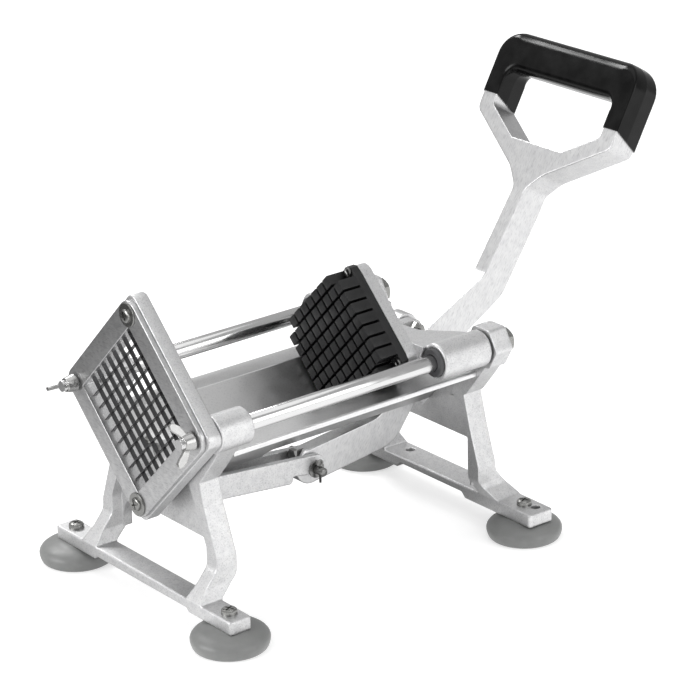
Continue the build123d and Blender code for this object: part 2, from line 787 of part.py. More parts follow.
def pusher_screws():
    radius, height = corner_screw_head
    screws = []
    for place in corner_places():
        head = along_x(on_diamond(place) * Circle(radius), finger_root - height, finger_root)
        slot = on_diamond(place) * Rectangle(2 * radius, 0.9)
        head = chamfer(head.faces().sort_by(Axis.X)[0].edges(), 0.6)
        head -= along_x(slot, finger_root - height, finger_root - height + 0.9)
        shank = along_x(on_diamond(place) * Circle(corner_screw_radius), finger_root, plate_back - 1)
        screws.append(head + shank)
    return group(*screws)


def plate_screws():
    screws = []
    end = carriage_boss_start + bridge_thickness - 4
    for y in (plate_screw_spacing / 2, -plate_screw_spacing / 2):
        head = bar_x(plate_screw_radius * 2, base_back + seat_gap, base_back + 3, y, rod_level)
        screws.append(head + bar_x(plate_screw_radius, base_back + 3, end, y, rod_level))
    return group(*screws)


def lever_pin():
    radius, height = lever_pin_head
    outer = clevis_half_width
    shank = bar_y(lever_pin_radius, -outer - height, outer, pin_x, pin_level)
    head = along_y(Pos(pin_x, pin_level) * hexagon(2 * radius), outer, outer + height)
    return shank + head


def lever_pin_nut():
    radius, height = lever_pin_head
    ring = hexagon(2 * radius) - Circle(lever_pin_radius + running_clearance)
    return along_y(Pos(pin_x, pin_level) * ring, -clevis_half_width - height, -clevis_half_width)


# ---------------------------------------------------------------- lever
def at_pin(dx, dz, radius):
    """A corner of the lever, measured from its pin."""
    return (pin_x + dx, pin_level + dz, radius)


def on_handle(along, back, radius):
    """A corner of the lever, measured along the handle and back from its front face."""
    place = handle_start + handle_along * along + handle_back * back
    return (place.X, place.Z, radius)


def lever_blade():
    side = outline(
        at_pin(knee_x, -knee_drop - knee_radius, 0),
        *[at_pin(*corner) for corner in lever_under],
        on_handle(lever_heel[0], lever_depth, lever_heel[1]),
        on_handle(lever_lap, lever_depth, 0),
        on_handle(lever_lap, 0, 0),
        on_handle(lever_throat[0], 0, lever_throat[1]),
        at_pin(*lever_crook),
        at_pin(lug_radius, -lug_radius, 2),
        at_pin(lug_radius, 0, 0),
        at_pin(-lug_radius, 0, 0),
        *[at_pin(*corner) for corner in lever_front],
        at_pin(knee_x, -knee_drop + knee_radius, 0),
    )
    body = along_y(side, -lever_half, lever_half)
    body += bar_y(knee_radius, -lever_half, lever_half, *knee)
    return body + bar_y(lug_radius, -lever_half, lever_half, pin_x, pin_level)


def yoke():
    root = (lever_half, -lever_lap, 0)
    outside = [
        (yoke_half_width, *yoke_shoulders[0]),
        (yoke_half_width, grip_axis - arm_taper[0], 0),
        (yoke_half_width - arm_taper[1], grip_axis, 0),
    ]
    inside = [(yoke_inner, grip_axis, 0), (yoke_inner, *yoke_shoulders[1]), yoke_crotch]
    face = both_sides(root, *yoke_neck, *outside, *inside)
    return extrude(handle_plane * face, amount=lever_depth)


def lever():
    body = lever_blade() + yoke()
    body -= bar_y(lever_pin_radius + running_clearance, -lever_half, lever_half, pin_x, pin_level)
    body -= bar_y(link_pin_radius + running_clearance, -lever_half, lever_half, *knee)
    body -= crossbar(crossbar_radius + seat_gap / 2, yoke_half_width + 1)
    level = knee[1] + stop_screw_rise
    head_radius, head_height = stop_screw_head
    flat = knee[0] - knee_radius + 4
    corner = block((flat - 20, flat), (-10, 10), (level - head_radius - 1, level + 20))
    body -= corner
    return body - bar_x(link_pin_radius - 0.2, flat, flat + 12, 0, level)


def crossbar(radius, reach):
    place = handle_start + handle_along * grip_axis + handle_back * (lever_depth / 2)
    return bar_y(radius, -reach, reach, place.X, place.Z)


def grip_end_cut():
    """What the slanted ends leave off the sleeve, towards the yoke."""
    overrun = lever_depth / 2
    rise = grip_slant / 2
    side = outline(
        on_handle(grip_start + rise, -overrun, 0),
        on_handle(grip_start - grip_slant - rise, lever_depth + overrun, 0),
        on_handle(grip_start - grip_axis, lever_depth + overrun, 0),
        on_handle(grip_start - grip_axis, -overrun, 0),
    )
    return along_y(side, -2 * yoke_half_width, 2 * yoke_half_width)


def hand_grip():
    outer = yoke_half_width + grip_wall
    inner = yoke_inner - grip_wall
    start = grip_start - 2 * grip_slant
    face = both_sides(
        (inner, start, 0),
        (outer, start, 0),
        (outer, grip_axis + grip_radius, grip_corner),
    )
    window = both_sides((inner, start - 1, 0), (inner, grip_axis - grip_radius, 8))
    depth = lever_depth + 2 * grip_wall
    sleeve = extrude(handle_plane.offset(-grip_wall) * (face - window), amount=depth)
    rims = []
    for edge in sleeve.edges():
        place = (edge @ 0.5) - handle_start
        off_centre = abs(place.dot(handle_back) - lever_depth / 2)
        if off_centre > lever_depth / 2 and place.dot(handle_along) > start + 0.5:
            rims.append(edge)
    sleeve = fillet(rims, grip_edge) - grip_end_cut()
    return sleeve - yoke() - crossbar(crossbar_radius, yoke_half_width - crossbar_inset)


def stop_screw():
    radius, height = stop_screw_head
    level = knee[1] + stop_screw_rise
    flat = knee[0] - knee_radius + 4
    head = along_x(Pos(0, level) * hexagon(2 * radius - 1.2), flat - height, flat)
    return head + bar_x(link_pin_radius - 0.2, flat, flat + 11, 0, level)


# ---------------------------------------------------------------- link
def link_side():
    """One wall of the channel, from the front pivot to the lever's knee."""
    px, pz = link_pivot
    kx, kz = knee
    rear = [(kx + dx, kz + dz, radius) for dx, dz, radius in link_rear]
    return outline(
        (px - link_eye_radius, pz, 0),
        (px - link_eye_radius, pz - link_eye_radius, 8),
        (px + link_belly[0], pz + link_belly[1], link_belly[2]),
        *rear,
        (px + link_back[0], pz + link_back[1], link_back[2]),
        (px - link_eye_radius, pz + link_eye_radius, 8),
    )


def link():
    body = both(along_y(link_side(), link_inner, link_outer))
    start = (link_pivot[0] + link_floor_start[0], link_pivot[1] + link_floor_start[1])
    end = (knee[0] + link_floor_end[0], knee[1] + link_floor_end[1])
    floor = outline(
        (*start, 0),
        (*end, 0),
        (end[0], end[1] + link_floor, 0),
        (start[0], start[1] + link_floor, 0),
    )
    body += along_y(floor, -link_inner, link_inner)
    for place in (link_pivot, knee):
        body -= bar_y(link_pin_radius + running_clearance, -link_outer, link_outer, *place)
    return body


def link_front_pin():
    reach = link_outer + washer_thickness + 4
    return bar_y(link_pin_radius, -reach, reach, *link_pivot)


def link_end_pins():
    """The knee pin's two ends; each stops at the face of the lever's arm."""
    reach = link_outer + link_pin_reach
    pin = bar_y(link_pin_radius, link_inner, reach, *knee)
    pin = chamfer(pin.faces().sort_by(Axis.Y)[-1].edges(), 0.8)
    hole_y = link_outer + washer_thickness + 3.5
    pin -= bar_z(1.0, knee[1] - 5, knee[1] + 5, knee[0], hole_y)
    return group(both(pin))


def link_washers():
    ring = Circle(link_pin_radius + 3.2) - Circle(link_pin_radius + bolt_clearance)
    face_front = Pos(*link_pivot) * ring
    face_knee = Pos(*knee) * ring
    rings = [along_y(f, link_outer, link_outer + washer_thickness) for f in (face_front, face_knee)]
    return group(*[both(r) for r in rings])


def split_pins():
    """A split pin through each end of the knee pin: a round eye and two legs."""
    hole_y = link_outer + washer_thickness + 3.5
    kx, kz = knee
    leg = bar_z(0.9, kz - 9, kz + link_pin_radius + 1, kx, hole_y)
    eye = Pos(kx, hole_y, kz + link_pin_radius + 2.6) * Rot(90, 0, 0) * Torus(2.0, 0.9)
    return group(both(leg + eye))


def front_pin_clips():
    reach = link_outer + washer_thickness
    ring = Circle(link_pin_radius + 2) - Circle(link_pin_radius)
    return group(both(along_y(Pos(*link_pivot) * ring, reach, reach + 1.6)))


# ---------------------------------------------------------------- suction cups
def suction_cup(x, y):
    skirt = [(cup_radius - inset, cup_height - drop) for inset, drop in cup_skirt]
    profile = make_face(
        Polyline(
            (0, cup_height),
            (cup_neck_radius, cup_height),
            *skirt,
            (cup_hollow[0], cup_height - cup_hollow[1]),
            (0, cup_height - cup_core),
            close=True,
        )
    )
    cup = revolve(Plane.XZ * profile, axis=Axis.Z)
    bore = bar_z(cup_screw_radius, bar_base - cup_screw_reach - seat_gap, bar_base, x, y)
    return Pos(x, y, 0) * cup - bore


def cup_screws():
    radius, height = cup_screw_head
    screws = []
    for x in (front_bar_x, rear_bar_x):
        for y in (cup_y, -cup_y):
            head = bar_z(radius, bar_top, bar_top + height, x, y)
            head = fillet(head.faces().sort_by(Axis.Z)[-1].edges(), 1.6)
            slot = (bar_top + height - cross_depth, bar_top + height)
            head -= block((x - radius, x + radius), (y - cross_width / 2, y + cross_width / 2), slot)
            screws.append(head + bar_z(cup_screw_radius, bar_base - cup_screw_reach, bar_top, x, y))
    return group(*screws)


# ---------------------------------------------------------------- all pieces
pieces = {
    "front_leg_frame": front_leg_frame(),
    "rear_leg_frame": rear_leg_frame(),
    "guide_rod_left": guide_rod(1),
    "guide_rod_right": guide_rod(-1),
    "rod_end_nuts": rod_end_nuts(),
    "trough": trough(),
    "trough_screws": trough_screws(),
    "blade_frame": blade_frame(),
    "blades_rising": blade_set(45, "front"),
    "blades_falling": blade_set(-45, "rear"),
    "blade_cover": blade_cover(),
    "cover_screws": cover_screws(),
    "cover_washers": cover_washers(),
    "wing_nut_left": wing_nut(1, -21),
    "wing_nut_right": wing_nut(-1, 73),
    "pusher_carriage": pusher_carriage(),
    "rod_bush_left": rod_bush(1),
    "rod_bush_right": rod_bush(-1),
    "backing_plate": backing_plate(),
    "plate_screws": plate_screws(),
    "pusher_block": pusher_block(),
    "pusher_screws": pusher_screws(),
    "lever_pin": lever_pin(),
    "lever_pin_nut": lever_pin_nut(),
    "lever": lever(),
    "grip_crossbar": crossbar(crossbar_radius, yoke_half_width - crossbar_inset),
    "hand_grip": hand_grip(),
    "stop_screw": stop_screw(),
    "link": link(),
    "link_front_pin": link_front_pin(),
    "front_pin_clips": front_pin_clips(),
    "link_end_pins": link_end_pins(),
    "link_washers": link_washers(),
    "split_pins": split_pins(),
    "suction_cup_front_left": suction_cup(front_bar_x, cup_y),
    "suction_cup_front_right": suction_cup(front_bar_x, -cup_y),
    "suction_cup_rear_left": suction_cup(rear_bar_x, cup_y),
    "suction_cup_rear_right": suction_cup(rear_bar_x, -cup_y),
    "cup_screws": cup_screws(),
}

os.makedirs("parts", exist_ok=True)
for name, piece in pieces.items():
    export_step(piece, f"parts/{name}.step")
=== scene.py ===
import json
import math
import bmesh
import bpy
from mathutils import Matrix, Vector

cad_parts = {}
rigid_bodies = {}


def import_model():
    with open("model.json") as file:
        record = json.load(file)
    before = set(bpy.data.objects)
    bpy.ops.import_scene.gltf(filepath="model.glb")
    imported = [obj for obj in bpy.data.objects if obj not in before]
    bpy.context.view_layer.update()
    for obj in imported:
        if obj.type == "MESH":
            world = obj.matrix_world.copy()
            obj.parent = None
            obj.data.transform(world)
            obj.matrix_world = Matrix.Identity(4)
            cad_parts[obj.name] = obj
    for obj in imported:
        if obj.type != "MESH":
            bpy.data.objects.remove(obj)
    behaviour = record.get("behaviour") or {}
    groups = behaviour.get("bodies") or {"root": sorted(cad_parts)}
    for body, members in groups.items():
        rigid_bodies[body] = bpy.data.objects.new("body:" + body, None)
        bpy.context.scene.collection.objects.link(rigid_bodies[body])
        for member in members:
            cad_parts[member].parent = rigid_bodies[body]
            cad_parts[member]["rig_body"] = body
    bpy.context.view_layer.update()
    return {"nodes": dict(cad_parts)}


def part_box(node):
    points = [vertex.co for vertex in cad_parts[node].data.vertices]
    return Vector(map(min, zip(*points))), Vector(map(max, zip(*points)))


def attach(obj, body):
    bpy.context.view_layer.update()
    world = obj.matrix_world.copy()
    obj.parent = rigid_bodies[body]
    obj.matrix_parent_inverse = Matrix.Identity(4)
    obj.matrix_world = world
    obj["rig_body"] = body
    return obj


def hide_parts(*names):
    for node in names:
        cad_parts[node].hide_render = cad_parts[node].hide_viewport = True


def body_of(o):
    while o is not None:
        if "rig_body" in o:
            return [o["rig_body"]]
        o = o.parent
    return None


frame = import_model()
nodes = frame["nodes"]
mm = 0.001  # sizes are written in mm, and the scene is in metres
middleFlat = 0.02  # radius in mm of the tiny flat that closes a turned piece at its middle
print("frame loaded:", len(nodes), "nodes")


def linear(code):
    # an sRGB hex colour as the linear values that a shader takes
    values = [int(code[i : i + 2], 16) / 255 for i in (0, 2, 4)]
    return tuple(v / 12.92 if v <= 0.04045 else ((v + 0.055) / 1.055) ** 2.4 for v in values) + (1.0,)


def addNode(tree, kind, inputs=None, **settings):
    # inputs maps a socket's name or number to a value or to the output that feeds it
    node = tree.nodes.new(kind)
    for name, value in settings.items():
        setattr(node, name, value)
    for name, value in (inputs or {}).items():
        if isinstance(value, bpy.types.NodeSocket):
            tree.links.new(value, node.inputs[name])
        else:
            node.inputs[name].default_value = value
    return node


def startMaterial(name):
    material = bpy.data.materials.new(name)
    material.use_nodes = True
    tree = material.node_tree
    tree.nodes.clear()
    return material, tree, addNode(tree, "ShaderNodeTexCoord").outputs["Object"]


def finishMaterial(tree, sockets):
    skin = addNode(tree, "ShaderNodeBsdfPrincipled", sockets)
    addNode(tree, "ShaderNodeOutputMaterial", {"Surface": skin.outputs[0]})


def scaleOf(size):
    # the scale of a noise whose blobs are about size mm wide
    return 1 / (size * mm)


middleSpan = {"From Min": 0.3, "From Max": 0.7}  # where most of a noise's values lie
lowSpan = {"From Min": 0.3, "From Max": 0.5}  # its low blobs only, which become specks
speckShare = {"To Min": 0.7, "To Max": 0.0}  # how much of the speck's colour they take
# a colour mix has its factor at input 0, its colours at 6 and 7, and its result at output 2


def mottledMetal(name, look):
    # bead blasting gives a die casting an even satin grain, soft clouds from the mould and small dull pits,
    # and a mill finish is the same with almost no relief; the real grain is finer than a pixel and is
    # drawn coarser, so that it shows
    material, tree, spot = startMaterial(name)
    clouds = {"Vector": spot, "Scale": scaleOf(look["mottleSize"]), "Detail": 4}
    clouds = addNode(tree, "ShaderNodeTexNoise", clouds).outputs[0]
    grain = {"Vector": spot, "Scale": scaleOf(look["grainSize"]), "Detail": 2}
    grain = addNode(tree, "ShaderNodeTexNoise", grain).outputs[0]
    pits = {"Vector": spot, "Scale": scaleOf(look["grainSize"] * 2), "Detail": 4}
    pits = addNode(tree, "ShaderNodeTexNoise", pits).outputs[0]
    cloudy = addNode(tree, "ShaderNodeMapRange", {"Value": clouds, **middleSpan}).outputs[0]
    pitted = addNode(tree, "ShaderNodeMapRange", {"Value": pits, **lowSpan, **speckShare}).outputs[0]
    tints = {0: cloudy, 6: linear(look["shade"]), 7: linear(look["colour"])}
    colour = addNode(tree, "ShaderNodeMix", tints, data_type="RGBA").outputs[2]
    tints = {0: pitted, 6: colour, 7: linear(look["speck"])}
    colour = addNode(tree, "ShaderNodeMix", tints, data_type="RGBA").outputs[2]
    span = {"To Min": look["rough"] + 0.04, "To Max": look["rough"] - 0.03}
    gloss = addNode(tree, "ShaderNodeMapRange", {"Value": clouds, **middleSpan, **span}).outputs[0]
    dents = {"Height": pits, "Distance": look["grainDepth"] * 2 * mm}
    dents = addNode(tree, "ShaderNodeBump", dents).outputs[0]
    relief = {"Height": grain, "Distance": look["grainDepth"] * mm, "Normal": dents}
    relief = addNode(tree, "ShaderNodeBump", relief).outputs[0]
    finishMaterial(tree, {"Base Color": colour, "Metallic": 1.0, "Roughness": gloss, "Normal": relief})
    return material


def beltGroundMetal(name, look):
    # a belt leaves fine lines one way, so highlights spread across them, and scuffs along them;
    # the real lines are finer than a pixel and are drawn as wide as they need to show
    scuffWider, scuffShorter = 2.5, 6  # against a line
    material, tree, spot = startMaterial(name)
    turn = (0, math.radians(look.get("grainTurn", 0.0)), 0)
    along = {"Vector": spot, "Scale": look["stretch"], "Rotation": turn}
    along = addNode(tree, "ShaderNodeMapping", along, vector_type="TEXTURE").outputs[0]
    less = {"Vector": spot, "Scale": [max(1, v / scuffShorter) for v in look["stretch"]], "Rotation": turn}
    less = addNode(tree, "ShaderNodeMapping", less, vector_type="TEXTURE").outputs[0]
    lines = {"Vector": along, "Scale": scaleOf(look["streakWidth"]), "Detail": 2}
    lines = addNode(tree, "ShaderNodeTexNoise", lines).outputs[0]
    clouds = {"Vector": spot, "Scale": scaleOf(look["streak"]), "Detail": 3}
    clouds = addNode(tree, "ShaderNodeTexNoise", clouds).outputs[0]
    scuffs = {"Vector": less, "Scale": scaleOf(look["streakWidth"] * scuffWider), "Detail": 4}
    scuffs = addNode(tree, "ShaderNodeTexNoise", scuffs).outputs[0]
    cloudy = addNode(tree, "ShaderNodeMapRange", {"Value": clouds, **middleSpan}).outputs[0]
    scuffed = addNode(tree, "ShaderNodeMapRange", {"Value": scuffs, **lowSpan, **speckShare}).outputs[0]
    tints = {0: cloudy, 6: linear(look["shade"]), 7: linear(look["colour"])}
    colour = addNode(tree, "ShaderNodeMix", tints, data_type="RGBA").outputs[2]
    tints = {0: scuffed, 6: colour, 7: linear(look["speck"])}
    colour = addNode(tree, "ShaderNodeMix", tints, data_type="RGBA").outputs[2]
    span = {"To Min": look["rough"] - 0.06, "To Max": look["rough"] + 0.08}
    gloss = addNode(tree, "ShaderNodeMapRange", {"Value": lines, **middleSpan, **span}).outputs[0]
    relief = {"Height": lines, "Distance": look["grainDepth"] * mm}
    relief = addNode(tree, "ShaderNodeBump", relief).outputs[0]
    finishMaterial(tree, {"Base Color": colour, "Metallic": 1.0, "Roughness": gloss, "Normal": relief})
    return material


def coatedMetal(name, look):
    # chrome, zinc, nickel or oil over smooth metal: one even colour, with faint handling marks in its gloss
    markDepth = 0.01  # in mm
    material, tree, spot = startMaterial(name)
    marks = {"Vector": spot, "Scale": scaleOf(look["markSize"]), "Detail": 5}
    marks = addNode(tree, "ShaderNodeTexNoise", marks).outputs[0]
    span = {"To Min": look["rough"] - 0.03, "To Max": look["rough"] + 0.07}
    gloss = addNode(tree, "ShaderNodeMapRange", {"Value": marks, **middleSpan, **span}).outputs[0]
    relief = {"Height": marks, "Distance": markDepth * mm}
    relief = addNode(tree, "ShaderNodeBump", relief).outputs[0]
    sockets = {"Base Color": linear(look["colour"]), "Metallic": 1.0, "Roughness": gloss, "Normal": relief}
    finishMaterial(tree, sockets)
    return material


def grainedPlastic(name, look):
    # fine grain from the mould or the lathe breaks up the shine, and handling leaves paler, duller patches
    material, tree, spot = startMaterial(name)
    grain = {"Vector": spot, "Scale": scaleOf(look["grainSize"]), "Detail": 2}
    grain = addNode(tree, "ShaderNodeTexNoise", grain).outputs[0]
    wear = {"Vector": spot, "Scale": scaleOf(look["patchSize"]), "Detail": 3}
    wear = addNode(tree, "ShaderNodeTexNoise", wear).outputs[0]
    worn = addNode(tree, "ShaderNodeMapRange", {"Value": wear, **middleSpan}).outputs[0]
    tints = {0: worn, 6: linear(look["colour"]), 7: linear(look["worn"])}
    colour = addNode(tree, "ShaderNodeMix", tints, data_type="RGBA").outputs[2]
    span = {"To Min": look["rough"] - 0.04, "To Max": look["rough"] + 0.05}
    gloss = addNode(tree, "ShaderNodeMapRange", {"Value": wear, **middleSpan, **span}).outputs[0]
    relief = {"Height": grain, "Distance": look["grainDepth"] * mm}
    relief = addNode(tree, "ShaderNodeBump", relief).outputs[0]
    sockets = {"Base Color": colour, "Roughness": gloss, "Normal": relief}
    sockets["Specular IOR Level"] = look["shine"]
    finishMaterial(tree, sockets)
    return material


def softVinyl(name, look):
    # a little light goes in, so the edges look soft, and dust dulls it in patches
    material, tree, spot = startMaterial(name)
    dust = {"Vector": spot, "Scale": scaleOf(look["patchSize"]), "Detail": 5}
    dust = addNode(tree, "ShaderNodeTexNoise", dust).outputs[0]
    fine = {"Vector": spot, "Scale": scaleOf(look["grainSize"]), "Detail": 2}
    fine = addNode(tree, "ShaderNodeTexNoise", fine).outputs[0]
    clean = addNode(tree, "ShaderNodeMapRange", {"Value": dust, **middleSpan}).outputs[0]
    tints = {0: clean, 6: linear(look["dusty"]), 7: linear(look["colour"])}
    colour = addNode(tree, "ShaderNodeMix", tints, data_type="RGBA").outputs[2]
    span = {"To Min": look["rough"] - 0.05, "To Max": look["rough"] + 0.1}
    gloss = addNode(tree, "ShaderNodeMapRange", {"Value": dust, **middleSpan, **span}).outputs[0]
    relief = {"Height": fine, "Distance": look["grainDepth"] * mm}
    relief = addNode(tree, "ShaderNodeBump", relief).outputs[0]
    sockets = {"Base Color": colour, "Roughness": gloss, "Normal": relief}
    sockets["Subsurface Weight"] = look["softness"]
    sockets["Subsurface Radius"] = [look["softDepth"] * mm] * 3
    finishMaterial(tree, sockets)
    return material


def settle(piece, node, skin):
    # gives a piece its material, and makes it ride on its node's body in that node's place
    piece.data.transform(piece.matrix_world)
    piece.matrix_world = Matrix.Identity(4)
    piece.data.materials.clear()
    piece.data.materials.append(skin)
    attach(piece, body_of(nodes[node])[0])
    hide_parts(node)


def addPiece(name, build, place=None, crease=30):
    # smooth faces, with edges that stay sharp over the crease angle in degrees
    bmesh.ops.recalc_face_normals(build, faces=build.faces)
    mesh = bpy.data.meshes.new(name)
    build.to_mesh(mesh)
    build.free()
    mesh.shade_smooth()
    mesh.set_sharp_from_angle(angle=math.radians(crease))
    piece = bpy.data.objects.new(name, mesh)
    bpy.context.scene.collection.objects.link(piece)
    if place is not None:
        piece.matrix_world = place
    return piece


def bake(piece):
    # turns the piece's modifiers into plain mesh
    seen = piece.evaluated_get(bpy.context.evaluated_depsgraph_get())
    piece.data = bpy.data.meshes.new_from_object(seen)
    piece.modifiers.clear()
    return piece


def copyOf(node, name, turn=None):
    # a cleaned copy of a CAD node, in its own turned frame where one is given
    build = bmesh.new()
    build.from_mesh(nodes[node].data)
    bmesh.ops.remove_doubles(build, verts=build.verts, dist=0.002 * mm)
    bmesh.ops.dissolve_degenerate(build, edges=build.edges, dist=0.002 * mm)
    if turn is not None:
        bmesh.ops.transform(build, matrix=turn.inverted(), verts=build.verts)
    return addPiece(name, build, turn)


def castSoft(piece, voxel, rounds):
    # a casting's soft corners: the mesh is made again in small voxels and then relaxed
    remesh = piece.modifiers.new("soft", "REMESH")
    remesh.mode = "VOXEL"
    remesh.voxel_size = voxel * mm
    remesh.use_smooth_shade = True
    relax = piece.modifiers.new("relax", "SMOOTH")
    relax.factor = 0.5
    relax.iterations = rounds
    return bake(piece)


def facing(axis, at):
    # a frame whose Z runs along the axis, at a place in mm
    turn = Vector(axis).to_track_quat("Z", "Y").to_matrix().to_4x4()
    return Matrix.Translation(Vector(at) * mm) @ turn


def circle(radius, height, steps=48, x=0.0, y=0.0):
    # points round an upright axis at x and y
    turns = [2 * math.pi * i / steps for i in range(steps)]
    return [(radius * math.cos(a) + x, radius * math.sin(a) + y, height) for a in turns]


def quarter(steps):
    # the angles of a quarter turn, equally spaced
    return [math.pi / 2 * i / (steps - 1) for i in range(steps)]


def loft(rings, build=None, closed=False):
    # quads between rings of points, all with the same count; closed joins the last ring to the first
    build = build or bmesh.new()
    made = [[build.verts.new(Vector(p) * mm) for p in ring] for ring in rings]
    pairs = list(zip(made, made[1:])) + ([(made[-1], made[0])] if closed else [])
    for first, second in pairs:
        count = len(first)
        for i in range(count):
            j = (i + 1) % count
            build.faces.new((first[i], first[j], second[j], second[i]))
    if not closed:
        build.faces.new(made[0])
        build.faces.new(list(reversed(made[-1])))
    return build


def turned(profile, steps=48, build=None, closed=False, x=0.0, y=0.0):
    # a turned piece from (radius, height) pairs
    return loft([circle(r, z, steps, x, y) for r, z in profile], build, closed)


def cutThread(build, radius, pitch, depth, low, high):
    # a real screw thread: a grid whose radius follows the turn
    steps, rowsPerTurn, shallowest = 36, 8, 0.35
    rows = max(rowsPerTurn, int((high - low) / pitch * rowsPerTurn))
    rings = []
    for row in range(rows + 1):
        z = low + (high - low) * row / rows
        fade = max(min(1.0, (high - z) / pitch, (z - low) / pitch), shallowest)
        ring = []
        for i in range(steps):
            a = 2 * math.pi * i / steps
            wave = abs(((z / pitch - i / steps) % 1.0) * 2 - 1)
            r = radius - depth * (1 - wave) * fade
            ring.append((r * math.cos(a), r * math.sin(a), z))
        rings.append(ring)
    return loft(rings, build)


def hexNut(flats, low, high, build=None, x=0.0):
    # a hexagon's sides, with the round chamfer that a lathe leaves on both faces
    steps, chamfer = 72, 0.9
    corner = flats / math.sqrt(3)
    levels = [(flats / 2 - 0.3, low), (flats / 2 + 0.2, low + 0.15)]
    levels += [(corner - 0.5, low + chamfer * 0.6), (corner, low + chamfer)]
    levels += [(limit, high - (z - low)) for limit, z in reversed(levels)]
    rings = []
    for limit, z in levels:
        ring = []
        for i in range(steps):
            a = 2 * math.pi * i / steps
            side = flats / 2 / math.cos((a + math.pi / 6) % (math.pi / 3) - math.pi / 6)
            r = min(side, limit)
            ring.append((r * math.cos(a) + x, r * math.sin(a), z))
        rings.append(ring)
    return loft(rings, build)


def cutCross(piece, look, at):
    # sinks a driver's cross into a head, by a boolean
    cutter = bmesh.new()
    size = [2 * look["crossReach"] * mm, look["crossWidth"] * mm, 2 * look["crossDepth"] * mm, 1]
    for arm in range(2):
        spin = Matrix.Rotation(arm * math.pi / 2 + look["crossTurn"], 4, "Z")
        shift = Matrix.Translation(Vector((at[0], at[1], look["crossTop"])) * mm)
        bmesh.ops.create_cube(cutter, size=1.0, matrix=shift @ spin @ Matrix.Diagonal(size))
    tool = addPiece("driverCutter", cutter, piece.matrix_world.copy())
    cut = piece.modifiers.new("cross", "BOOLEAN")
    cut.operation = "DIFFERENCE"
    cut.object = tool
    cut.solver = "EXACT"
    cut.use_self = True
    bpy.context.view_layer.update()
    bake(piece)
    bpy.data.objects.remove(tool)
    piece.data.shade_smooth()
    piece.data.set_sharp_from_angle(angle=math.radians(30))


def boxOf(node):
    # a node's lowest and highest corners, in mm
    low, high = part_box(node)
    return low / mm, high / mm


# places that the pieces share, from the frame
low, high = boxOf("guide_rod_left")
rodFront, rodRear = low.x, high.x
rodSide, rodLevel = (low.y + high.y) / 2, (low.z + high.z) / 2
low, high = boxOf("blade_frame")
frameFront, frameBack = low.x, high.x
coverFront = boxOf("blade_cover")[0].x
rearBack = boxOf("rod_end_nuts")[0].x
low, high = boxOf("suction_cup_rear_left")
footX, footY = (low.x + high.x) / 2, (low.y + high.y) / 2
sides = ((1, "left"), (-1, "right"))

# castings
casting = dict(colour="dedede", shade="d2d2d3", speck="b4b4b5", rough=0.46,
               mottleSize=5.0, grainSize=0.5, grainDepth=0.05, voxel=0.5, rounds=2)
castSkin = mottledMetal("bead blasted cast aluminium", casting)
castings = {"front_leg_frame": "frontLegCasting", "rear_leg_frame": "rearLegCasting",
            "pusher_carriage": "carriageCasting", "link": "linkCasting"}
for node, name in castings.items():
    piece = castSoft(copyOf(node, name), casting["voxel"], casting["rounds"])
    settle(piece, node, castSkin)
print("leg frames, carriage and link ready")

# lever: its flat sides are ground along the handle
handleLean = 90 - 60.35  # degrees back from upright
lever = dict(colour="dadada", shade="cececf", speck="b4b4b5", rough=0.4, streak=6.0, streakWidth=0.35,
             stretch=(1, 1, 30), grainTurn=handleLean, grainDepth=0.014, voxel=0.5, rounds=2)
leverSkin = beltGroundMetal("belt ground cast aluminium", lever)
handleTurn = Matrix.Rotation(math.radians(handleLean), 4, "Y")
leverArm = castSoft(copyOf("lever", "leverArm", handleTurn), lever["voxel"], lever["rounds"])
settle(leverArm, "lever", leverSkin)
print("lever ready")

# grip: a moulded loop with crisp edges on the arms and a rounder bar on top; its sizes are square to
# the handle, from the base: across it, along it and in depth
grip = dict(colour="020202", worn="0f0f0f", rough=0.22, shine=0.2, grainSize=1.4, grainDepth=0.008,
            patchSize=12.0, outer=73.0, inner=57.0, top=111.3, under=81.3,
            outerCorner=20.0, innerCorner=8.0, armEdge=1.6, barEdge=8.0, front=-1.0, back=24.7,
            sidePoints=(66.0, 74.0, 84.0), topPoints=(36.0, 18.0, 0.0), underPoints=(-32.0, -16.0, 0.0),
            rim=61.1, rimDrop=9.0, seam=0.08, seamDepth=11.85, seamWidth=1.1, base=(210.1, 0, 224.0))
gripSkin = grainedPlastic("glossy moulded vinyl", grip)


